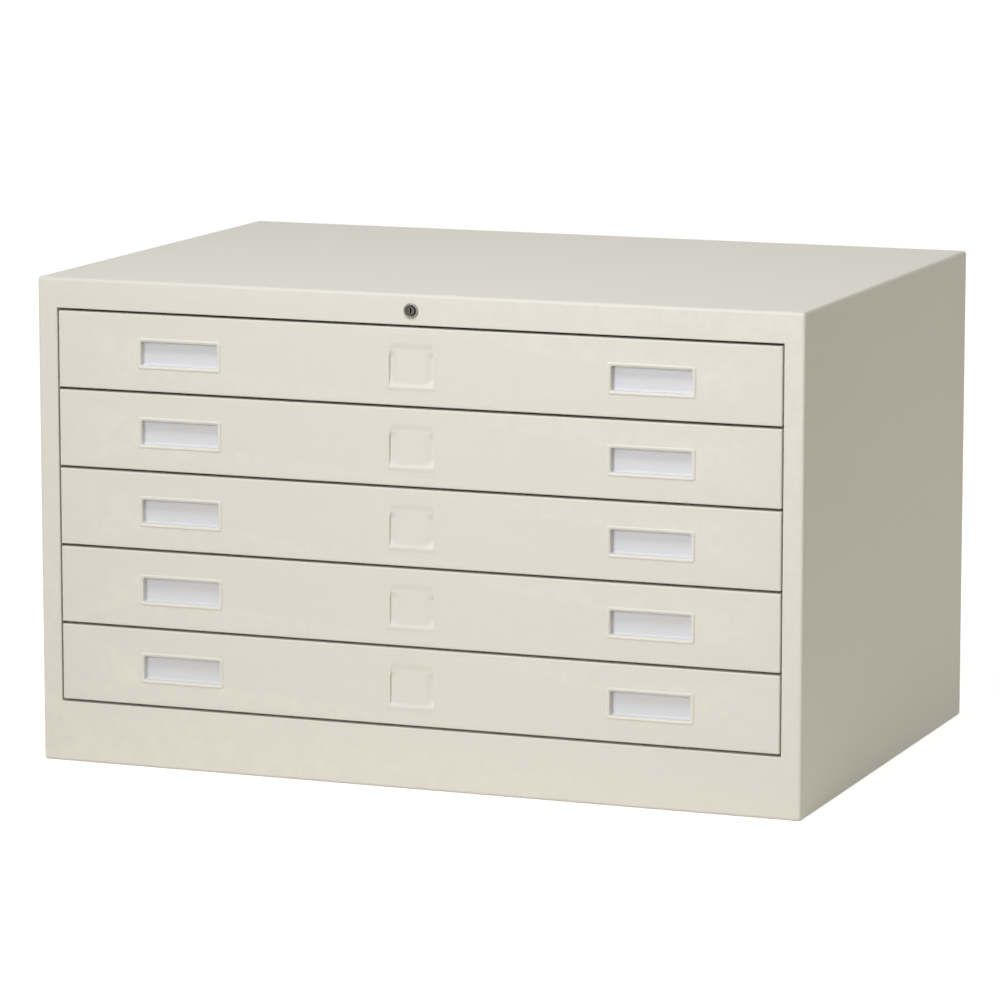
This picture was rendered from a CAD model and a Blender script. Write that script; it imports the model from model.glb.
import math
import bmesh
import bpy
from mathutils import Matrix, Vector


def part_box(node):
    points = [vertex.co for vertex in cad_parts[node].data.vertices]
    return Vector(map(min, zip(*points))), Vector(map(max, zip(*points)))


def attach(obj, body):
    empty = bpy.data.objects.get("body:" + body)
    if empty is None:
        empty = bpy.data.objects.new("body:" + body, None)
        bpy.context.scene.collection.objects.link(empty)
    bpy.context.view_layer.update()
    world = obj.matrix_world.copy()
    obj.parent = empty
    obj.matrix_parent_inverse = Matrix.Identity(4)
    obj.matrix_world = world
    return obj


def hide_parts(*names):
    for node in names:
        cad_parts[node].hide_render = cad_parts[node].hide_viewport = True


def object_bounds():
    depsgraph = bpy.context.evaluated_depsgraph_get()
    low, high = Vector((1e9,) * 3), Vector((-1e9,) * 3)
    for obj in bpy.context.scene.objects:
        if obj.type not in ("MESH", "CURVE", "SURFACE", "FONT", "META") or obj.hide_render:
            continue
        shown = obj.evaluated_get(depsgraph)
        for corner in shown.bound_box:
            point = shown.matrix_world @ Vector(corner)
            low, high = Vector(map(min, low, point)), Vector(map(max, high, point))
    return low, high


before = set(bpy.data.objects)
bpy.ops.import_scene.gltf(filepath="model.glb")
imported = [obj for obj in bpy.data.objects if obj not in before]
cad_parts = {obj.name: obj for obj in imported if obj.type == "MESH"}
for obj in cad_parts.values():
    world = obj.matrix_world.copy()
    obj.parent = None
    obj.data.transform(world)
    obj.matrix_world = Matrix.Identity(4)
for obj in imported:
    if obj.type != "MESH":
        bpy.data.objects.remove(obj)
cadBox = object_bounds()
scene = bpy.context.scene
scene.view_settings.view_transform = "Standard"
drawerNumbers = range(1, 6)
print("frame loaded:", len(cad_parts), "nodes")

# camera, fitted to the cabinet's edges in the photograph
photoCamera = {
    "place": (2.522, -6.598, 1.484), "yaw": 0.3673, "pitch": 0.162, "lens": 188.6, "sensor": 36.0,
    "clipEnd": 60.0}


def makeCamera(view):
    data = bpy.data.cameras.new("photoCamera")
    data.lens = view["lens"]
    data.sensor_width = view["sensor"]
    data.clip_end = view["clipEnd"]
    camera = bpy.data.objects.new("photoCamera", data)
    camera.location = view["place"]
    camera.rotation_euler = (math.pi / 2 - view["pitch"], 0, view["yaw"])
    scene.collection.objects.link(camera)
    scene.camera = camera


makeCamera(photoCamera)


# small node-tree helpers
def link(tree, source, target):
    tree.links.new(source, target)


def addNode(tree, kind, **values):
    node = tree.nodes.new(kind)
    for name, value in values.items():
        setattr(node, name, value)
    return node


def mathNode(tree, operation, first, second=None, clamp=False):
    node = addNode(tree, "ShaderNodeMath", operation=operation, use_clamp=clamp)
    for socket, value in zip(node.inputs, (first, second)):
        if value is None:
            continue
        if isinstance(value, (int, float)):
            socket.default_value = value
        else:
            link(tree, value, socket)
    return node.outputs[0]


def mixColour(tree, factor, first, second, blend="MIX"):
    node = addNode(tree, "ShaderNodeMix", data_type="RGBA", blend_type=blend)
    for socket, value in ((node.inputs[0], factor), (node.inputs[6], first), (node.inputs[7], second)):
        if isinstance(value, (int, float, tuple)):
            socket.default_value = value
        else:
            link(tree, value, socket)
    return node.outputs[2]


def newGroup(name, inputs, outputs):
    group = bpy.data.node_groups.new(name, "ShaderNodeTree")
    for label, kind, value in inputs:
        socket = group.interface.new_socket(name=label, in_out="INPUT", socket_type=kind)
        socket.default_value = value
    for label, kind in outputs:
        group.interface.new_socket(name=label, in_out="OUTPUT", socket_type=kind)
    return group, addNode(group, "NodeGroupInput"), addNode(group, "NodeGroupOutput")


def addNoise(tree, place, detail, scale=None):
    noise = addNode(tree, "ShaderNodeTexNoise")
    noise.inputs["Detail"].default_value = detail
    if scale is not None:
        noise.inputs["Scale"].default_value = scale
    link(tree, place, noise.inputs["Vector"])
    return noise


def tinted(tree, base, tone):
    # the base colour times an even grey of that tone
    grey = addNode(tree, "ShaderNodeCombineColor")
    for socket in grey.inputs:
        link(tree, tone, socket)
    return mixColour(tree, 1.0, base, grey.outputs[0], "MULTIPLY")


# powder coat: fine orange peel, slow drift of tone, faint dust in the texture
coatTexture = {
    "peelDetail": 2.0, "peelRoughness": 0.55, "driftScale": 2.2, "driftDetail": 3.0,
    "speckScale": 160.0, "speckDetail": 4.0, "speckShare": 0.5, "roughSwing": 0.12}


def buildCoatGroup(look):
    group, given, result = newGroup(
        "powderCoatTexture",
        [
            ("Base", "NodeSocketColor", (0.8, 0.8, 0.8, 1)),
            ("Peel Scale", "NodeSocketFloat", 900.0),
            ("Drift", "NodeSocketFloat", 0.03),
            ("Roughness", "NodeSocketFloat", 0.45),
        ],
        [("Color", "NodeSocketColor"), ("Roughness", "NodeSocketFloat"), ("Height", "NodeSocketFloat")])
    place = addNode(group, "ShaderNodeTexCoord").outputs["Object"]
    peel = addNoise(group, place, look["peelDetail"])
    peel.inputs["Roughness"].default_value = look["peelRoughness"]
    link(group, given.outputs["Peel Scale"], peel.inputs["Scale"])
    drift = addNoise(group, place, look["driftDetail"], look["driftScale"])
    speck = addNoise(group, place, look["speckDetail"], look["speckScale"])
    slow = mathNode(group, "SUBTRACT", drift.outputs[0], 0.5)
    quick = mathNode(group, "SUBTRACT", speck.outputs[0], 0.5)
    both = mathNode(group, "ADD", slow, mathNode(group, "MULTIPLY", quick, look["speckShare"]))
    tone = mathNode(group, "ADD", mathNode(group, "MULTIPLY", both, given.outputs["Drift"]), 1.0)
    link(group, tinted(group, given.outputs["Base"], tone), result.inputs["Color"])
    rough = mathNode(group, "MULTIPLY", quick, look["roughSwing"])
    link(group, mathNode(group, "ADD", given.outputs["Roughness"], rough), result.inputs["Roughness"])
    link(group, peel.outputs[0], result.inputs["Height"])
    return group


# wear: a mask on outer edges, broken up by noise
wearTexture = {"scale": 70.0, "detail": 3.0, "full": 0.75}
wearEdges = {"Start": 0.53, "End": 0.66}


def buildWearGroup(look):
    group, given, result = newGroup(
        "edgeWear",
        [
            ("Start", "NodeSocketFloat", 0.52),
            ("End", "NodeSocketFloat", 0.62),
            ("Breakup", "NodeSocketFloat", 0.5),
        ],
        [("Mask", "NodeSocketFloat")])
    sharp = addNode(group, "ShaderNodeNewGeometry").outputs["Pointiness"]
    ramp = addNode(group, "ShaderNodeMapRange")
    link(group, sharp, ramp.inputs["Value"])
    link(group, given.outputs["Start"], ramp.inputs["From Min"])
    link(group, given.outputs["End"], ramp.inputs["From Max"])
    place = addNode(group, "ShaderNodeTexCoord").outputs["Object"]
    noise = addNoise(group, place, look["detail"], look["scale"])
    broken = addNode(group, "ShaderNodeMapRange")
    link(group, noise.outputs[0], broken.inputs["Value"])
    link(group, given.outputs["Breakup"], broken.inputs["From Min"])
    broken.inputs["From Max"].default_value = look["full"]
    link(group, mathNode(group, "MULTIPLY", ramp.outputs[0], broken.outputs[0], True), result.inputs["Mask"])
    return group


# brushed or plated metal: fine streaks along one axis and cloudy tone
streakTexture = {"scale": 1.0, "detail": 3.0, "cloudDetail": 4.0}


def buildStreakGroup(look):
    group, given, result = newGroup(
        "metalStreaks",
        [
            ("Base", "NodeSocketColor", (0.6, 0.6, 0.6, 1)),
            ("Stretch", "NodeSocketVector", (20.0, 600.0, 600.0)),
            ("Cloud Scale", "NodeSocketFloat", 30.0),
            ("Contrast", "NodeSocketFloat", 0.1),
            ("Roughness", "NodeSocketFloat", 0.35),
        ],
        [("Color", "NodeSocketColor"), ("Roughness", "NodeSocketFloat"), ("Height", "NodeSocketFloat")])
    place = addNode(group, "ShaderNodeTexCoord").outputs["Object"]
    stretched = addNode(group, "ShaderNodeVectorMath", operation="MULTIPLY")
    link(group, place, stretched.inputs[0])
    link(group, given.outputs["Stretch"], stretched.inputs[1])
    streak = addNoise(group, stretched.outputs[0], look["detail"], look["scale"])
    cloud = addNoise(group, place, look["cloudDetail"])
    link(group, given.outputs["Cloud Scale"], cloud.inputs["Scale"])
    both = mathNode(group, "ADD", streak.outputs[0], cloud.outputs[0])
    swing = mathNode(group, "MULTIPLY", mathNode(group, "SUBTRACT", both, 1.0), given.outputs["Contrast"])
    tone = mathNode(group, "ADD", swing, 1.0)
    link(group, tinted(group, given.outputs["Base"], tone), result.inputs["Color"])
    link(group, mathNode(group, "ADD", given.outputs["Roughness"], swing), result.inputs["Roughness"])
    link(group, streak.outputs[0], result.inputs["Height"])
    return group


# a mask that grows with depth behind the front
def buildDepthGroup():
    group, given, result = newGroup(
        "depthTone", [("Front", "NodeSocketFloat", 0.0), ("Back", "NodeSocketFloat", 0.01)],
        [("Mask", "NodeSocketFloat")])
    place = addNode(group, "ShaderNodeSeparateXYZ")
    link(group, addNode(group, "ShaderNodeTexCoord").outputs["Object"], place.inputs[0])
    ramp = addNode(group, "ShaderNodeMapRange", interpolation_type="SMOOTHSTEP")
    link(group, place.outputs["Y"], ramp.inputs["Value"])
    link(group, given.outputs["Front"], ramp.inputs["From Min"])
    link(group, given.outputs["Back"], ramp.inputs["From Max"])
    link(group, ramp.outputs[0], result.inputs["Mask"])
    return group


depthGroup = buildDepthGroup()
coatGroup = buildCoatGroup(coatTexture)
wearGroup = buildWearGroup(wearTexture)
streakGroup = buildStreakGroup(streakTexture)


def startMaterial(name):
    material = bpy.data.materials.new(name)
    material.use_nodes = True
    tree = material.node_tree
    return material, tree, tree.nodes["Principled BSDF"]


def placeGroup(tree, group, values):
    node = addNode(tree, "ShaderNodeGroup")
    node.node_tree = group
    for name, value in values.items():
        node.inputs[name].default_value = value
    return node


def addBump(tree, shader, height, look):
    bump = addNode(tree, "ShaderNodeBump")
    bump.inputs["Strength"].default_value = look["bump"]
    bump.inputs["Distance"].default_value = look["bumpDepth"]
    link(tree, height, bump.inputs["Height"])
    link(tree, bump.outputs[0], shader.inputs["Normal"])


def coatMaterial(name, look):
    material, tree, shader = startMaterial(name)
    coat = placeGroup(tree, coatGroup, {
        "Base": (*look["colour"], 1), "Peel Scale": look["peelScale"],
        "Drift": look["drift"], "Roughness": look["roughness"]})
    wear = placeGroup(tree, wearGroup, dict(wearEdges, Breakup=look["breakup"]))
    worn = mixColour(tree, wear.outputs["Mask"], coat.outputs["Color"], (*look["wornColour"], 1))
    link(tree, worn, shader.inputs["Base Color"])
    link(tree, coat.outputs["Roughness"], shader.inputs["Roughness"])
    shader.inputs["Specular IOR Level"].default_value = look["specular"]
    addBump(tree, shader, coat.outputs["Height"], look)
    return material


def metalMaterial(name, look):
    material, tree, shader = startMaterial(name)
    streak = placeGroup(tree, streakGroup, {
        "Base": (*look["colour"], 1), "Stretch": look["stretch"], "Cloud Scale": look["cloudScale"],
        "Contrast": look["contrast"], "Roughness": look["roughness"]})
    wear = placeGroup(tree, wearGroup, dict(wearEdges, Breakup=look["breakup"]))
    colour = streak.outputs["Color"]
    if "cupTint" in look:
        inside = placeGroup(tree, depthGroup, {"Front": look["cupFront"], "Back": look["cupBack"]})
        colour = mixColour(tree, inside.outputs["Mask"], colour,
                           mixColour(tree, 1.0, colour, (*look["cupTint"], 1), "MULTIPLY"))
    worn = mixColour(tree, wear.outputs["Mask"], colour, (*look["wornColour"], 1))
    link(tree, worn, shader.inputs["Base Color"])
    link(tree, streak.outputs["Roughness"], shader.inputs["Roughness"])
    shader.inputs["Metallic"].default_value = look["metallic"]
    shader.inputs["Specular IOR Level"].default_value = look["specular"]
    addBump(tree, shader, streak.outputs["Height"], look)
    return material


caseCoatLook = {
    "colour": (0.745, 0.723, 0.662), "wornColour": (0.80, 0.785, 0.71), "peelScale": 1100.0, "drift": 0.032,
    "roughness": 0.42, "specular": 0.38, "bump": 0.10, "bumpDepth": 0.0002, "breakup": 0.35}
innerCoatLook = dict(caseCoatLook, colour=(0.66, 0.64, 0.555), roughness=0.55, drift=0.08, bump=0.14)
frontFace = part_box("drawer_1_front")[0].y
pullLook = {
    "colour": (0.765, 0.753, 0.700), "wornColour": (0.80, 0.79, 0.74), "stretch": (30.0, 900.0, 900.0),
    "cloudScale": 25.0, "contrast": 0.04, "roughness": 0.45, "metallic": 0.0, "specular": 0.25, "bump": 0.05,
    "bumpDepth": 0.0001, "breakup": 0.45, "cupTint": (0.932, 0.953, 1.075), "cupFront": frontFace + 0.001,
    "cupBack": frontFace + 0.006}
zincLook = {
    "colour": (0.62, 0.63, 0.64), "wornColour": (0.5, 0.49, 0.47), "stretch": (500.0, 25.0, 500.0),
    "cloudScale": 45.0, "contrast": 0.16, "roughness": 0.36, "metallic": 1.0, "specular": 0.5, "bump": 0.06,
    "bumpDepth": 0.0001, "breakup": 0.45}
rimLook = {
    "colour": (0.25, 0.245, 0.22), "wornColour": (0.40, 0.39, 0.36), "stretch": (700.0, 40.0, 700.0),
    "cloudScale": 90.0, "contrast": 0.10, "roughness": 0.34, "metallic": 1.0, "specular": 0.5, "bump": 0.05,
    "bumpDepth": 0.0001, "breakup": 0.45}
lockLook = {
    "colour": (0.105, 0.104, 0.09), "wornColour": (0.30, 0.29, 0.27), "stretch": (700.0, 40.0, 700.0),
    "cloudScale": 90.0, "contrast": 0.12, "roughness": 0.30, "metallic": 1.0, "specular": 0.5, "bump": 0.05,
    "bumpDepth": 0.0001, "breakup": 0.45}
caseCoat = coatMaterial("casePowderCoat", caseCoatLook)
innerCoat = coatMaterial("innerPowderCoat", innerCoatLook)
pullSatin = metalMaterial("pullSatin", pullLook)
zincPlate = metalMaterial("zincPlate", zincLook)
lockNickel = metalMaterial("lockNickel", lockLook)
lockRim = metalMaterial("lockRim", rimLook)
print("materials built")


# mesh helpers: every pressed or folded piece is a run of rounded rectangular rings
meshLimits = {"radius": 0.0001, "corner": 0.0002, "merge": 0.000001}
sharpDegrees = 32


def roundedRing(bm, place, box, radius, height, steps=5):
    left, right, low, high = box
    radius = max(radius, meshLimits["radius"])
    corners = ((right - radius, high - radius, 0), (left + radius, high - radius, 90),
               (left + radius, low + radius, 180), (right - radius, low + radius, 270))
    ring = []
    for centreU, centreV, startAngle in corners:
        for step in range(steps + 1):
            angle = math.radians(startAngle + 90 * step / steps)
            ring.append(bm.verts.new(place(
                centreU + radius * math.cos(angle), centreV + radius * math.sin(angle), height)))
    return ring


def bridge(bm, first, second):
    count = len(first)
    for index in range(count):
        following = (index + 1) % count
        bm.faces.new((first[index], first[following], second[following], second[index]))


def ringRun(bm, place, rings, steps=5):
    made = [roundedRing(bm, place, box, radius, height, steps) for box, radius, height in rings]
    for first, second in zip(made, made[1:]):
        bridge(bm, first, second)
    return made


def shrink(box, amount):
    left, right, low, high = box
    return left + amount, right - amount, low + amount, high - amount


def foldRings(box, radius, cornerRadius, height, direction, steps=6):
    # rings over a quarter round, from the flat face (first) to the wall (last)
    rings = []
    for step in range(steps + 1):
        angle = math.pi / 2 * step / steps
        inset = radius * (1 - math.sin(angle))
        rings.append((shrink(box, inset), max(cornerRadius - inset, meshLimits["corner"]),
                      height + direction * radius * (1 - math.cos(angle))))
    return rings


def loopEdges(bm, loop):
    return [bm.edges.get((a, b)) for a, b in zip(loop, loop[1:] + loop[:1])]


def fillBetween(bm, loops, normal):
    edges = [edge for loop in loops for edge in loopEdges(bm, loop)]
    bmesh.ops.triangle_fill(bm, use_beauty=True, edges=edges, normal=normal)


def faceOutward(bm, outside):
    # one known face points the way that outside says
    bmesh.ops.remove_doubles(bm, verts=bm.verts[:], dist=meshLimits["merge"])
    bmesh.ops.recalc_face_normals(bm, faces=bm.faces[:])
    bm.normal_update()
    face = max(bm.faces, key=lambda item: item.calc_center_median().dot(outside))
    if face.normal.dot(outside) < 0:
        bmesh.ops.reverse_faces(bm, faces=bm.faces[:])


def settle(item):
    # evaluated result as a plain mesh, modifiers gone
    evaluated = item.evaluated_get(bpy.context.evaluated_depsgraph_get())
    mesh = bpy.data.meshes.new_from_object(evaluated)
    item.modifiers.clear()
    item.data = mesh


def smoothBelow(item, degrees):
    item.data.shade_smooth()
    item.data.set_sharp_from_angle(angle=math.radians(degrees))


def newPiece(name, bm, material, sheet=0.0, degrees=sharpDegrees):
    mesh = bpy.data.meshes.new(name)
    bm.to_mesh(mesh)
    bm.free()
    mesh.materials.append(material)
    item = bpy.data.objects.new(name, mesh)
    scene.collection.objects.link(item)
    if sheet:
        wall = item.modifiers.new("wall", "SOLIDIFY")
        wall.thickness = sheet
        wall.offset = -1
        wall.use_even_offset = True
        settle(item)
    smoothBelow(item, degrees)
    return item


def weighNormals(item):
    weigh = item.modifiers.new("faceNormals", "WEIGHTED_NORMAL")
    weigh.keep_sharp = True
    weigh.weight = 80


def cutWith(item, bm):
    mesh = bpy.data.meshes.new("cut")
    bm.to_mesh(mesh)
    bm.free()
    cutter = bpy.data.objects.new("cut", mesh)
    scene.collection.objects.link(cutter)
    cut = item.modifiers.new("cut", "BOOLEAN")
    cut.operation = "DIFFERENCE"
    cut.solver = "EXACT"
    cut.object = cutter
    settle(item)
    bpy.data.objects.remove(cutter, do_unlink=True)


def copyTo(item, name, shift):
    mesh = item.data.copy()
    mesh.transform(Matrix.Translation(shift))
    copied = bpy.data.objects.new(name, mesh)
    scene.collection.objects.link(copied)
    return copied


def dress(item, body, slot, *nodes):
    weighNormals(item)
    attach(item, body)
    if nodes:
        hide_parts(*nodes)


def alongY(u, v, w):
    return (u, w, v)


def alongZ(u, v, w):
    return (u, v, w)


# welded case: top, sides, stiles, rail and plinth as one ground and painted shell
caseShape = {
    "sheet": 0.0012, "fold": 0.0045, "openingFold": 0.0016, "openingCorner": 0.0008,
    "foldSteps": 6, "returnDepth": 0.017, "rearFlange": 0.018, "rearReach": 0.01, "floorFlange": 0.020,
    "floorReach": 0.001, "flat": 0.9, "lockHole": 0.0083, "lockHoleDepth": 0.008, "lockHoleSides": 64}


def makeCaseShell(shape):
    topLow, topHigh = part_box("top_panel")
    leftLow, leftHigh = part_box("left_side_panel")
    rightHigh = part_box("right_side_panel")[1]
    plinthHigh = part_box("plinth_front")[1]
    frontY, rearY = leftLow.y, leftHigh.y
    outer = (leftLow.x, rightHigh.x, leftLow.z, leftHigh.z)
    opening = (leftHigh.x, -leftHigh.x, plinthHigh.z, topLow.z)
    bm = bmesh.new()
    rear = foldRings(outer, shape["fold"], shape["fold"], rearY, -1)
    rear.insert(0, (shrink(outer, shape["rearFlange"]), shape["openingCorner"], rearY))
    front = foldRings(outer, shape["fold"], shape["fold"], frontY, 1)
    shell = ringRun(bm, alongY, rear + front[::-1])
    fold = shape["openingFold"]
    inner = []
    for step in range(shape["foldSteps"] + 1):
        angle = math.pi / 2 * step / shape["foldSteps"]
        grow = fold * (1 - math.sin(angle))
        inner.append((shrink(opening, -grow), shape["openingCorner"] + grow,
                      frontY + fold * (1 - math.cos(angle))))
    inner.append((opening, shape["openingCorner"], frontY + shape["returnDepth"]))
    mouth = ringRun(bm, alongY, inner)
    fillBetween(bm, [shell[-1], mouth[0]], Vector((0, -1, 0)))
    faceOutward(bm, Vector((0, 0, 1)))

    # the base is open inside its flanges, and so is the rear below its top flange
    flange, floorReach = shape["floorFlange"], shape["floorReach"]
    for axis, level in ((Vector((1, 0, 0)), outer[0] + flange), (Vector((1, 0, 0)), outer[1] - flange),
                        (Vector((0, 1, 0)), frontY + flange), (Vector((0, 1, 0)), rearY - flange)):
        parts = set()
        for face in bm.faces:
            if face.calc_center_median().z < floorReach and abs(face.normal.z) > shape["flat"]:
                parts.update((face, *face.edges, *face.verts))
        bmesh.ops.bisect_plane(bm, geom=list(parts), dist=meshLimits["merge"],
                               plane_co=axis * level, plane_no=axis)
    spare = []
    for face in bm.faces:
        spot = face.calc_center_median()
        underneath = spot.z < floorReach and abs(spot.x) < outer[1] - flange and spot.y > frontY + flange
        low = spot.z < shape["rearFlange"] and abs(spot.x) < outer[1] - shape["rearFlange"]
        if underneath or (low and spot.y > rearY - shape["rearReach"]):
            spare.append(face)
    bmesh.ops.delete(bm, geom=spare, context="FACES")
    item = newPiece("caseShell", bm, caseCoat, shape["sheet"])

    lockLow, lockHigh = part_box("lock_plug")
    centre = (lockLow + lockHigh) / 2
    hole = bmesh.new()
    turn = Matrix.Translation((centre.x, frontY, centre.z)) @ Matrix.Rotation(math.pi / 2, 4, "X")
    bmesh.ops.create_cone(hole, cap_ends=True, segments=shape["lockHoleSides"], radius1=shape["lockHole"],
                          radius2=shape["lockHole"], depth=shape["lockHoleDepth"], matrix=turn)
    cutWith(item, hole)
    smoothBelow(item, sharpDegrees)
    dress(item, "case", "case_paint", "top_panel", "left_side_panel", "right_side_panel", "plinth_front")


# drawer fronts: folded pan, two pull openings, and a pressed pocket for a label; sideReach is how far the
# pan goes past the plain solid, which leaves the narrow gaps at its ends
frontShape = {
    "sheet": 0.001, "fold": 0.0022, "corner": 0.0015, "lip": 0.012, "lipCorner": 0.0004, "sideReach": 0.0014,
    "pullRoom": 0.0011, "pullHoleCorner": 0.002}
labelShape = {
    "halfWidth": 0.0312, "low": -0.0275, "high": 0.0316, "margin": 0.012,
    "lowDepth": 0.0002, "depth": 0.0013, "sideDepth": 0.0040,
    "sideStart": 0.017, "footEnd": 0.012, "deepStart": 0.010, "deepEnd": 0.021,
    "sideWall": 0.0013, "softWall": 0.0040, "bottomWall": 0.0062, "topWall": 0.0100,
    "rimRise": 0.0006, "rimWidth": 0.0055, "sideRim": 0.3, "rimTurn": 0.010,
    "fineColumn": 0.0003, "fineRow": 0.0007, "coarse": 0.002}


def softStep(value):
    value = min(max(value, 0.0), 1.0)
    return value * value * (3 - 2 * value)


def labelHeight(u, v, shape):
    # u, v from the drawer's middle; the result is the press depth, negative where the rim stands proud
    fromTop, fromLow, across = shape["high"] - v, v - shape["low"], abs(u)
    firm = softStep((fromTop - shape["deepStart"]) / (shape["deepEnd"] - shape["deepStart"]))
    toSide = softStep((across - shape["sideStart"]) / (shape["halfWidth"] - shape["sideStart"]))
    extra = toSide * firm * softStep(fromLow / shape["footEnd"])
    height = shape["high"] - shape["low"]
    depth = shape["lowDepth"] + (shape["depth"] - shape["lowDepth"]) * fromLow / height
    depth += (shape["sideDepth"] - shape["depth"]) * extra
    wall = shape["softWall"] + (shape["sideWall"] - shape["softWall"]) * firm
    sides = softStep((shape["halfWidth"] - across) / wall)
    ends = softStep(fromLow / shape["bottomWall"]) * softStep(fromTop / shape["topWall"])
    overU, overV = max(across - shape["halfWidth"], 0.0), max(-fromLow, 0.0)
    away = math.hypot(overU, overV) / shape["rimWidth"]
    strength = 1 - (1 - shape["sideRim"]) * softStep(fromLow / shape["rimTurn"])
    rise = shape["rimRise"] * strength * (1 - softStep(away)) * firm
    return (depth + rise) * sides * ends - rise


def spread(stops, fine, coarse):
    # grid lines from the first stop to the last, close together between pairs marked fine
    lines = [stops[0][0]]
    for (start, kind), (end, following) in zip(stops, stops[1:]):
        step = fine if kind else coarse
        count = max(1, round((end - start) / step))
        lines += [start + (end - start) * index / count for index in range(1, count + 1)]
    return lines


def labelPatch(bm, centre, faceY, shape):
    half, low, high = shape["halfWidth"], shape["low"], shape["high"]
    rim, wall, margin = shape["rimWidth"], shape["softWall"], shape["margin"]
    right = [(0, 0), (half - wall, 1), (half, 1), (half + rim, 0), (half + margin, 0)]
    positive = spread(right, shape["fineColumn"], shape["coarse"])
    columns = [-u for u in reversed(positive[1:])] + positive
    rows = spread([(low - margin, 0), (low - rim, 1), (low + shape["bottomWall"], 0),
                   (high - shape["deepEnd"], 1), (high, 0), (high + margin, 0)],
                  shape["fineRow"], shape["coarse"])
    grid = [[bm.verts.new((centre[0] + u, faceY + labelHeight(u, v, shape), centre[1] + v)) for u in columns]
            for v in rows]
    for lower, upper in zip(grid, grid[1:]):
        for index in range(len(columns) - 1):
            bm.faces.new((lower[index], lower[index + 1], upper[index + 1], upper[index]))
    return (grid[0] + [row[-1] for row in grid[1:-1]] + grid[-1][::-1]
            + [row[0] for row in grid[-2:0:-1]])


def makeDrawerFronts(shape):
    low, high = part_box("drawer_1_front")
    box = (low.x - shape["sideReach"], high.x + shape["sideReach"], low.z, high.z)
    faceY, backY = low.y, high.y
    bm = bmesh.new()
    back = foldRings(box, shape["fold"], shape["corner"], backY, -1)
    back.insert(0, (shrink(box, shape["lip"]), shape["lipCorner"], backY))
    pan = ringRun(bm, alongY, back + foldRings(box, shape["fold"], shape["corner"], faceY, 1)[::-1])
    loops = [pan[-1], labelPatch(bm, (0, (low.z + high.z) / 2), faceY, labelShape)]
    for side in ("left", "right"):
        pullLow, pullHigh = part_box(f"drawer_1_{side}_pull")
        centreU, centreV = (pullLow.x + pullHigh.x) / 2, (pullLow.z + pullHigh.z) / 2
        halfU, halfV = (size / 2 + shape["pullRoom"] for size in pullShape["mouth"])
        hole = (centreU - halfU, centreU + halfU, centreV - halfV, centreV + halfV)
        loops.append(roundedRing(bm, alongY, hole, shape["pullHoleCorner"], faceY))
        for a, b in zip(loops[-1], loops[-1][1:] + loops[-1][:1]):
            bm.edges.new((a, b))
    fillBetween(bm, loops, Vector((0, -1, 0)))
    faceOutward(bm, Vector((1, 0, 0)))
    first = newPiece("drawer1FrontPan", bm, caseCoat, shape["sheet"])
    for number in drawerNumbers:
        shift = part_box(f"drawer_{number}_front")[0] - low
        item = first if number == 1 else copyTo(first, f"drawer{number}FrontPan", shift)
        dress(item, f"drawer_{number}", "drawer_paint", f"drawer_{number}_front")


# flush cup pulls: beaded flange, neck, undercut and hollow floor
pullShape = {
    "flange": (0.120, 0.0415), "mouth": (0.110, 0.0315), "sheet": 0.0008, "flangeCorner": 0.0030,
    "edgeRise": 0.0004, "crest": 0.0014, "crestShare": 0.5, "innerRise": 0.0007, "mouthRound": 0.0012,
    "mouthCorner": 0.0020, "backRound": 0.0008, "backStart": 0.9, "beadSteps": 12, "mouthSteps": 6,
    "cupSteps": 18, "smooth": 40,
    "upperStops": ((0.0, 1.0), (0.38, 1.0), (0.50, 1.15), (0.84, 1.15), (1.0, 1.0)),
    "lowerStops": ((0.0, -1.0), (0.76, -1.0), (0.88, -0.97), (0.95, -0.92), (1.0, -0.82))}


def follow(stops, share):
    # the value at a share, along straight stretches between the stops
    for (start, startValue), (end, endValue) in zip(stops, stops[1:]):
        if share <= end:
            return startValue + (endValue - startValue) * ((share - start) / (end - start))
    return stops[-1][1]


def beadRise(share, shape):
    # how far the flange stands off the front, from its outer edge (0) to the mouth (1)
    crest, peak, inner = shape["crest"], shape["crestShare"], shape["innerRise"]
    if share < peak:
        return shape["edgeRise"] + (crest - shape["edgeRise"]) * math.sin(math.pi / 2 * share / peak)
    return inner + (crest - inner) * math.cos(math.pi / 2 * (share - peak) / (1 - peak))


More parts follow.
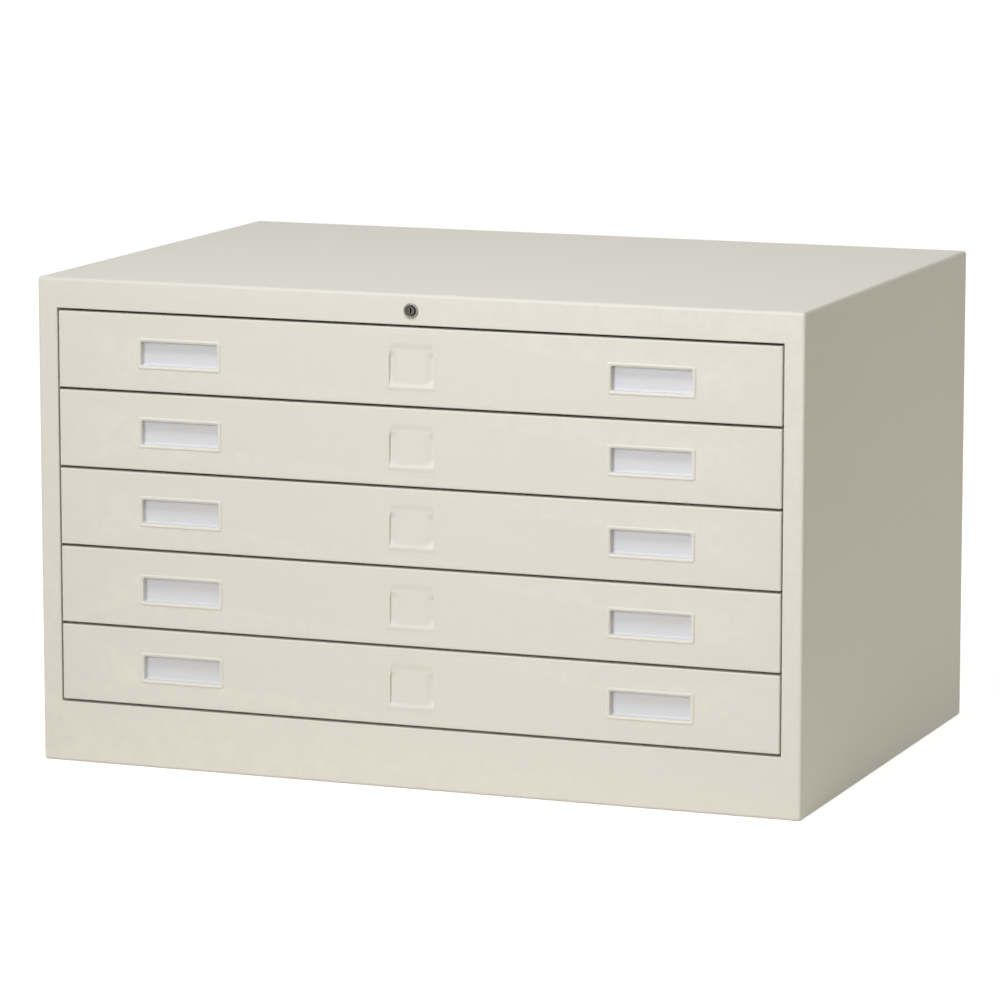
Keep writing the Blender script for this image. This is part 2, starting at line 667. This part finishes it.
def makePulls(shape):
    low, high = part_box("drawer_1_left_pull")
    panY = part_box("drawer_1_front")[0].y
    centreU, centreV = (low.x + high.x) / 2, (low.z + high.z) / 2
    halfU, halfV = shape["mouth"][0] / 2, shape["mouth"][1] / 2
    flangeU, flangeV = shape["flange"][0] / 2, shape["flange"][1] / 2
    mouth = (centreU - halfU, centreU + halfU, centreV - halfV, centreV + halfV)
    mouthRound = shape["mouthRound"]
    bandU, bandV = flangeU - halfU - mouthRound, flangeV - halfV - mouthRound
    bm = bmesh.new()
    rings = []
    for step in range(shape["beadSteps"] + 1):
        share = step / shape["beadSteps"]
        growU, growV = mouthRound + bandU * (1 - share), mouthRound + bandV * (1 - share)
        corner = shape["mouthCorner"] + mouthRound
        corner += (shape["flangeCorner"] - corner) * (1 - share)
        rings.append(((mouth[0] - growU, mouth[1] + growU, mouth[2] - growV, mouth[3] + growV),
                      corner, panY - beadRise(share, shape)))
    rings.insert(0, (rings[0][0], rings[0][1], panY))
    rimY = panY - shape["innerRise"]
    for step in range(1, shape["mouthSteps"] + 1):
        angle = math.pi / 2 * step / shape["mouthSteps"]
        rings.append((shrink(mouth, mouthRound * (math.sin(angle) - 1)),
                      shape["mouthCorner"] + mouthRound * (1 - math.sin(angle)),
                      rimY + mouthRound * (1 - math.cos(angle))))
    backY, backStart = high.y - shape["sheet"], shape["backStart"]
    for step in range(1, shape["cupSteps"] + 1):
        share = step / shape["cupSteps"]
        lower, upper = (follow(shape[stops], share) * halfV for stops in ("lowerStops", "upperStops"))
        past = max(0.0, share - backStart) / (1 - backStart)
        inset = shape["backRound"] * (1 - math.cos(math.pi / 2 * past))
        rings.append(((mouth[0] + inset, mouth[1] - inset, centreV + lower, centreV + upper),
                      shape["mouthCorner"], rimY + mouthRound + (backY - rimY - mouthRound) * share))
    made = ringRun(bm, alongY, rings)
    bm.faces.new(made[-1])
    faceOutward(bm, Vector((0, -1, 0)))
    first = newPiece("drawer1LeftPull", bm, pullSatin, shape["sheet"], shape["smooth"])
    for number in drawerNumbers:
        for side in ("left", "right"):
            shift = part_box(f"drawer_{number}_{side}_pull")[0] - low
            name = f"drawer{number}{side.capitalize()}Pull"
            item = first if name == first.name else copyTo(first, name, shift)
            dress(item, f"drawer_{number}", "pull_satin", f"drawer_{number}_{side}_pull")


# trays: folded floor edges, walls turned out along the top at the sides and rear
trayShape = {
    "sheet": 0.001, "fold": 0.0018, "corner": 0.0025, "turn": 0.005, "turnFold": 0.0014, "turnSteps": 5}


def makeTrays(shape):
    low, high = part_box("drawer_1_tray")
    turn = shape["turn"]
    walls = (low.x + turn, high.x - turn, low.y, high.y - turn)
    bm = bmesh.new()
    rings = foldRings(walls, shape["fold"], shape["corner"], low.z, 1)
    fold = shape["turnFold"]
    topZ = high.z - shape["sheet"]
    for step in range(shape["turnSteps"] + 1):
        angle = math.pi / 2 * step / shape["turnSteps"]
        grow = fold * (1 - math.cos(angle))
        rings.append(((walls[0] - grow, walls[1] + grow, walls[2], walls[3] + grow),
                      shape["corner"], topZ - fold + fold * math.sin(angle)))
    rings.append(((low.x, high.x, walls[2], high.y), shape["corner"], topZ))
    made = ringRun(bm, alongZ, rings)
    bm.faces.new(made[0])
    faceOutward(bm, Vector((0, 0, -1)))
    first = newPiece("drawer1Tray", bm, innerCoat, shape["sheet"])
    for number in drawerNumbers:
        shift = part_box(f"drawer_{number}_tray")[0] - low
        item = first if number == 1 else copyTo(first, f"drawer{number}Tray", shift)
        dress(item, f"drawer_{number}", "inner_paint", f"drawer_{number}_tray")


# runners and slides: rolled channels, fixed with rivets
channelShape = {"sheet": 0.0015, "fold": 0.0022, "steps": 6, "groove": 0.0005, "grooveWidth": 0.003}


def roundedPath(corners, radius, steps):
    path = [corners[0]]
    for before, corner, after in zip(corners, corners[1:], corners[2:]):
        toward = (Vector(before) - Vector(corner)).normalized()
        onward = (Vector(after) - Vector(corner)).normalized()
        centre = Vector(corner) + (toward + onward) * radius
        for step in range(steps + 1):
            angle = math.pi / 2 * step / steps
            path.append(tuple(centre - onward * radius * math.cos(angle) - toward * radius * math.sin(angle)))
    return path + [corners[-1]]


def makeChannel(name, node, body, opensOut, shape):
    low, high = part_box(node)
    side = 1 if low.x > 0 else -1
    near, far = min(abs(low.x), abs(high.x)) * side, max(abs(low.x), abs(high.x)) * side
    web, lip = (near, far) if opensOut else (far, near)
    middle, half = (low.z + high.z) / 2, shape["grooveWidth"] / 2
    inward = shape["groove"] * (1 if lip > web else -1)
    lower = roundedPath([(lip, low.z), (web, low.z), (web, middle - half)], shape["fold"], shape["steps"])
    upper = roundedPath([(web, middle + half), (web, high.z), (lip, high.z)], shape["fold"], shape["steps"])
    path = lower + [(web + inward, middle - half / 2), (web + inward, middle + half / 2)] + upper
    bm = bmesh.new()
    ends = [[bm.verts.new((x, y, z)) for x, z in path] for y in (low.y, high.y)]
    for index in range(len(path) - 1):
        bm.faces.new((ends[0][index], ends[0][index + 1], ends[1][index + 1], ends[1][index]))
    faceOutward(bm, Vector((web - lip, 0, 0)).normalized())
    dress(newPiece(name, bm, zincPlate, shape["sheet"]), body, "zinc_steel", node)


def makeChannels():
    for number in drawerNumbers:
        for side in ("left", "right"):
            label, node = f"drawer{number}{side.capitalize()}", f"drawer_{number}_{side}"
            makeChannel(label + "Slide", node + "_slide", f"drawer_{number}", True, channelShape)
            makeChannel(label + "Runner", node + "_runner", "case", False, channelShape)


# rivets and weld marks: one head, copied over a set of points with Geometry Nodes
headShape = {
    "rivet": 0.0034, "rivetRise": 0.0011, "weld": 0.0030, "weldRise": 0.00025, "sides": 20, "spread": 0.04}
headPlaces = {
    "slideEnds": 0.03, "slideCount": 6, "backEdge": 0.012, "columnFoot": 0.03, "columnHead": 0.04,
    "columnCount": 12, "rowEnds": 0.06, "rowCount": 16, "backSeed": 7}


def domedHead(name, radius, rise, ringed):
    # low dome on +Z with its rim on the plane; a ringed one is a weld mark with a dimple
    profile = [(1.0, 0.0), (0.94, 0.45), (0.78, 0.85), (0.55, 1.0), (0.3, 1.0), (0.1, 1.0)]
    if ringed:
        profile = [(1.0, 0.0), (0.86, 0.8), (0.74, 1.0), (0.62, 0.8), (0.5, 0.25), (0.1, 0.1)]
    bm = bmesh.new()
    rings = []
    for share, height in profile:
        rings.append([bm.verts.new((
            radius * share * math.cos(2 * math.pi * side / headShape["sides"]),
            radius * share * math.sin(2 * math.pi * side / headShape["sides"]),
            rise * height)) for side in range(headShape["sides"])])
    for first, second in zip(rings, rings[1:]):
        bridge(bm, first, second)
    bm.faces.new(rings[0])
    bm.faces.new(rings[-1])
    bmesh.ops.recalc_face_normals(bm, faces=bm.faces[:])
    mesh = bpy.data.meshes.new(name)
    bm.to_mesh(mesh)
    bm.free()
    mesh.shade_smooth()
    head = bpy.data.objects.new(name, mesh)
    scene.collection.objects.link(head)
    return head


def buildScatterGroup():
    group = bpy.data.node_groups.new("headsOnPoints", "GeometryNodeTree")
    for label, kind in (("Geometry", "Geometry"), ("Head", "Object"), ("Facing", "Vector"),
                        ("Size Spread", "Float"), ("Seed", "Int"), ("Material", "Material")):
        group.interface.new_socket(name=label, in_out="INPUT", socket_type="NodeSocket" + kind)
    group.interface.new_socket(name="Geometry", in_out="OUTPUT", socket_type="NodeSocketGeometry")
    given, result = addNode(group, "NodeGroupInput"), addNode(group, "NodeGroupOutput")
    info = addNode(group, "GeometryNodeObjectInfo")
    place = addNode(group, "GeometryNodeInstanceOnPoints")
    align = addNode(group, "FunctionNodeAlignRotationToVector", axis="Z")
    turn = addNode(group, "FunctionNodeRotateRotation", rotation_space="LOCAL")
    spin = addNode(group, "FunctionNodeRandomValue", data_type="FLOAT_VECTOR")
    scale = addNode(group, "FunctionNodeRandomValue", data_type="FLOAT")
    spin.inputs["Max"].default_value = (0, 0, 2 * math.pi)
    scale.inputs[2].default_value = 1.0
    realize = addNode(group, "GeometryNodeRealizeInstances")
    paint = addNode(group, "GeometryNodeSetMaterial")
    link(group, given.outputs["Head"], info.inputs["Object"])
    link(group, given.outputs["Facing"], align.inputs["Vector"])
    link(group, align.outputs["Rotation"], turn.inputs["Rotation"])
    link(group, spin.outputs[0], turn.inputs["Rotate By"])
    link(group, given.outputs["Seed"], spin.inputs["Seed"])
    link(group, given.outputs["Seed"], scale.inputs["Seed"])
    link(group, mathNode(group, "SUBTRACT", 1.0, given.outputs["Size Spread"]), scale.inputs[2])
    link(group, mathNode(group, "ADD", 1.0, given.outputs["Size Spread"]), scale.inputs[3])
    link(group, given.outputs["Geometry"], place.inputs["Points"])
    link(group, info.outputs["Geometry"], place.inputs["Instance"])
    link(group, turn.outputs["Rotation"], place.inputs["Rotation"])
    link(group, scale.outputs[1], place.inputs["Scale"])
    link(group, place.outputs["Instances"], realize.inputs["Geometry"])
    link(group, realize.outputs["Geometry"], paint.inputs["Geometry"])
    link(group, given.outputs["Material"], paint.inputs["Material"])
    link(group, paint.outputs["Geometry"], result.inputs["Geometry"])
    return group


scatterGroup = buildScatterGroup()


def headsAt(spots, facing, head, material, seed):
    mesh = bpy.data.meshes.new("points")
    mesh.from_pydata([tuple(spot) for spot in spots], [], [])
    points = bpy.data.objects.new("points", mesh)
    scene.collection.objects.link(points)
    scatter = points.modifiers.new("heads", "NODES")
    scatter.node_group = scatterGroup
    values = {
        "Head": head, "Facing": facing, "Size Spread": headShape["spread"], "Seed": seed,
        "Material": material}
    for socket in scatterGroup.interface.items_tree:
        if socket.in_out == "INPUT" and socket.name in values:
            scatter[socket.identifier] = values[socket.name]
    settle(points)
    result = points.data
    bpy.data.objects.remove(points, do_unlink=True)
    return result


def joinHeads(name, meshes, body):
    bm = bmesh.new()
    for mesh in meshes:
        bm.from_mesh(mesh)
    joined = bpy.data.meshes.new(name)
    bm.to_mesh(joined)
    bm.free()
    joined.materials.append(meshes[0].materials[0])
    joined.shade_smooth()
    item = bpy.data.objects.new(name, joined)
    scene.collection.objects.link(item)
    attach(item, body)


def evenly(start, end, count):
    return [start + (end - start) * index / (count - 1) for index in range(count)]


def makeHeads(places):
    rivet = domedHead("rivetHead", headShape["rivet"], headShape["rivetRise"], False)
    weld = domedHead("weldMark", headShape["weld"], headShape["weldRise"], True)
    sheet = channelShape["sheet"]
    for number in drawerNumbers:
        outside, inside = [], []
        for side, sign in (("left", -1), ("right", 1)):
            low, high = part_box(f"drawer_{number}_{side}_slide")
            web = min(abs(low.x), abs(high.x))
            levels = ((low.z * 3 + high.z) / 4, (low.z + high.z * 3) / 4)
            along = evenly(low.y + places["slideEnds"], high.y - places["slideEnds"], places["slideCount"])
            spots = [(sign * (web + sheet), y, levels[index % 2]) for index, y in enumerate(along)]
            outside.append(headsAt(spots, (sign, 0, 0), rivet, zincPlate, number))
            wall = abs(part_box(f"drawer_{number}_tray")[0].x) - trayShape["turn"] - trayShape["sheet"]
            spots = [(sign * wall, y, z) for x, y, z in spots]
            inside.append(headsAt(spots, (-sign, 0, 0), weld, innerCoat, number))
        joinHeads(f"drawer{number}Rivets", outside, f"drawer_{number}")
        joinHeads(f"drawer{number}WeldMarks", inside, f"drawer_{number}")

    low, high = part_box("back_panel")
    edge = places["backEdge"]
    upward = evenly(low.z + places["columnFoot"], high.z - places["columnHead"], places["columnCount"])
    across = evenly(low.x + places["rowEnds"], high.x - places["rowEnds"], places["rowCount"])
    spots = [(x, high.y, z) for x in (low.x + edge, high.x - edge) for z in upward]
    spots += [(x, high.y, low.z + edge) for x in across]
    marks = headsAt(spots, (0, 1, 0), weld, caseCoat, places["backSeed"])
    joinHeads("backWeldMarks", [marks], "case")
    for head in (rivet, weld):
        bpy.data.objects.remove(head, do_unlink=True)


# lock: turned nose with a rolled flange, dark throat, plug with a keyway
lockShape = {
    "flangeRadius": 0.010, "flangeThickness": 0.0018, "barrelRadius": 0.008, "throatRadius": 0.0081,
    "throatDepth": 0.0013, "boreRadius": 0.0058, "plugRadius": 0.0055, "round": 0.0006, "soften": 0.0004,
    "plugHole": 0.0002, "plugBevel": 0.0005, "keyway": (0.0020, 0.0078), "keyCorner": 0.0006,
    "keyDepth": 0.010, "keyOverrun": 0.002, "smooth": 30}


def turned(profile, centre, sides=72):
    # profile of radius and y, turned about the axis through centre
    bm = bmesh.new()
    rings = []
    for radius, y in profile:
        angles = [2 * math.pi * side / sides for side in range(sides)]
        rings.append([
            bm.verts.new((centre.x + radius * math.cos(angle), y, centre.z + radius * math.sin(angle)))
            for angle in angles])
    for first, second in zip(rings, rings[1:]):
        bridge(bm, first, second)
    return bm, rings


def quarter(centreR, centreY, radius, startDegrees, steps=5):
    points = []
    for step in range(steps + 1):
        angle = math.radians(startDegrees - 90 * step / steps)
        points.append((centreR + radius * math.cos(angle), centreY - radius * math.sin(angle)))
    return points


def makeLock(shape):
    bodyLow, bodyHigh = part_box("lock_body")
    plugLow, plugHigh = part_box("lock_plug")
    centre = (plugLow + plugHigh) / 2
    nose, back = bodyLow.y, bodyHigh.y
    soft = shape["round"]
    radius = shape["flangeRadius"]
    seat = nose + shape["flangeThickness"]
    throat, soften, bore = shape["throatRadius"], shape["soften"], shape["boreRadius"]
    profile = [(throat, seat), (throat, nose + soften)] + quarter(throat + soften, nose + soften, soften, 180)
    profile += quarter(radius - soft, nose + soft, soft, 90) + [(radius, seat)]
    bm, rings = turned(profile, centre)
    bridge(bm, rings[-1], rings[0])
    faceOutward(bm, Vector((0, 1, 0)))
    dress(newPiece("lockNose", bm, lockRim, degrees=shape["smooth"]), "case", "lock_metal", "lock_body")

    shoulder = nose + shape["throatDepth"]
    profile = [(bore, back), (bore, shoulder + soften), (bore + soften, shoulder), (throat, nose + soften),
               (throat, seat), (shape["barrelRadius"], seat), (shape["barrelRadius"], back)]
    bm, rings = turned(profile, centre)
    bridge(bm, rings[-1], rings[0])
    faceOutward(bm, Vector((0, 1, 0)))
    dress(newPiece("lockThroat", bm, lockNickel, degrees=shape["smooth"]), "case", "lock_metal")

    face = plugLow.y
    plugRadius, bevel = shape["plugRadius"], shape["plugBevel"]
    profile = [(shape["plugHole"], face), (plugRadius - bevel, face), (plugRadius, face + bevel),
               (plugRadius, plugHigh.y)]
    bm, rings = turned(profile, centre)
    bm.faces.new(rings[0])
    bm.faces.new(rings[-1])
    faceOutward(bm, Vector((0, 1, 0)))
    plug = newPiece("lockPlugFace", bm, lockNickel, degrees=shape["smooth"])
    halfU, halfV = shape["keyway"][0] / 2, shape["keyway"][1] / 2
    slot = bmesh.new()
    box = (centre.x - halfU, centre.x + halfU, centre.z - halfV, centre.z + halfV)
    corner = shape["keyCorner"]
    ends = ringRun(slot, alongY, [
        (box, corner, face - shape["keyOverrun"]), (box, corner, face + shape["keyDepth"])])
    slot.faces.new(ends[0])
    slot.faces.new(ends[1])
    bmesh.ops.recalc_face_normals(slot, faces=slot.faces[:])
    cutWith(plug, slot)
    smoothBelow(plug, shape["smooth"])
    dress(plug, "lock_plug", "lock_metal", "lock_plug")


makeCaseShell(caseShape)
print("case shell built")
makeDrawerFronts(frontShape)
makePulls(pullShape)
makeTrays(trayShape)
makeChannels()
makeHeads(headPlaces)
print("drawers built")
makeLock(lockShape)
print("lock built")


# carried-over nodes get their finish
def finishNodes():
    for node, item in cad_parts.items():
        if item.hide_render:
            continue
        if any(word in node for word in ("runner", "slide", "lock_", "guide", "bracket")):
            material = zincPlate
        elif node == "back_panel":
            material = caseCoat
        else:
            material = innerCoat
        for place in item.material_slots:
            place.material = material


finishNodes()

# studio: pale floor that keeps the shadow, a broad soft light in front, one above, a weak one low at the
# right side, and an even fill
studio = {
    "floorSize": 60.0, "floorDrop": 0.0002, "floorRoughness": 0.9, "floorTone": (0.73, 0.705, 0.615), 
    "liftColour": (0.93, 0.95, 1.0), "floorLift": 0.82, "fill": 0.36, "fillColour": (1.0, 0.98, 0.82)}
lampLooks = {
    "frontLight": {
        "power": 33.6, "colour": (1.0, 1.0, 1.06), "size": 2.0, "place": (-1.2, -6.2, 2.35),
        "aim": (0.85, -0.36, 1.5), "spread": 75.0},
    "topLight": {
        "power": 14.5, "colour": (1.0, 1.0, 1.06), "size": 1.1, "place": (-0.1, -2.3, 4.0),
        "aim": (0.0, -0.1, 0.5), "spread": 90.0},
    "sideFill": {
        "power": 0.30, "colour": (1.0, 0.97, 0.91), "size": 0.3, "place": (3.2, 2.0, 0.3),
        "aim": (0.55, 0.2, 0.0), "spread": 45.0}}


def seenRays(tree):
    # 1 for the rays that show the floor or the backdrop as such, 0 for the light they throw
    path = addNode(tree, "ShaderNodeLightPath")
    seen = mathNode(tree, "MAXIMUM", path.outputs["Is Camera Ray"], path.outputs["Is Glossy Ray"])
    return mathNode(tree, "MAXIMUM", seen, path.outputs["Is Transmission Ray"])


def makeFloor(look):
    bm = bmesh.new()
    bmesh.ops.create_grid(bm, x_segments=1, y_segments=1, size=look["floorSize"] / 2)
    mesh = bpy.data.meshes.new("studioFloor")
    bm.to_mesh(mesh)
    bm.free()
    floor = bpy.data.objects.new("studioFloor", mesh)
    floor.location.z = cadBox[0].z - look["floorDrop"]
    scene.collection.objects.link(floor)
    material, tree, shader = startMaterial("studioFloor")
    shader.inputs["Base Color"].default_value = (*look["floorTone"], 1)
    shader.inputs["Roughness"].default_value = look["floorRoughness"]
    shader.inputs["Specular IOR Level"].default_value = 0.0
    seen = seenRays(tree)
    shader.inputs["Emission Color"].default_value = (*look["liftColour"], 1)
    link(tree, mathNode(tree, "MULTIPLY", seen, look["floorLift"]), shader.inputs["Emission Strength"])
    mesh.materials.append(material)


def makeWorld(look):
    world = bpy.data.worlds.new("studioWorld")
    world.use_nodes = True
    scene.world = world
    tree = world.node_tree
    back = tree.nodes["Background"]
    seen = seenRays(tree)
    strength = addNode(tree, "ShaderNodeMapRange")
    link(tree, seen, strength.inputs["Value"])
    strength.inputs["To Min"].default_value = look["fill"]
    strength.inputs["To Max"].default_value = 1.0
    link(tree, strength.outputs[0], back.inputs["Strength"])
    link(tree, mixColour(tree, seen, (*look["fillColour"], 1), (1, 1, 1, 1)), back.inputs["Color"])


def makeLamp(name, look):
    data = bpy.data.lights.new(name, "AREA")
    data.energy = look["power"]
    data.color = look["colour"]
    data.size = look["size"]
    data.spread = math.radians(look["spread"])
    lamp = bpy.data.objects.new(name, data)
    lamp.location = look["place"]
    aim = Vector(look["aim"]) - lamp.location
    lamp.rotation_euler = aim.to_track_quat("-Z", "Y").to_euler()
    scene.collection.objects.link(lamp)


makeFloor(studio)
makeWorld(studio)
for lampName, lampLook in lampLooks.items():
    makeLamp(lampName, lampLook)
print("studio built")
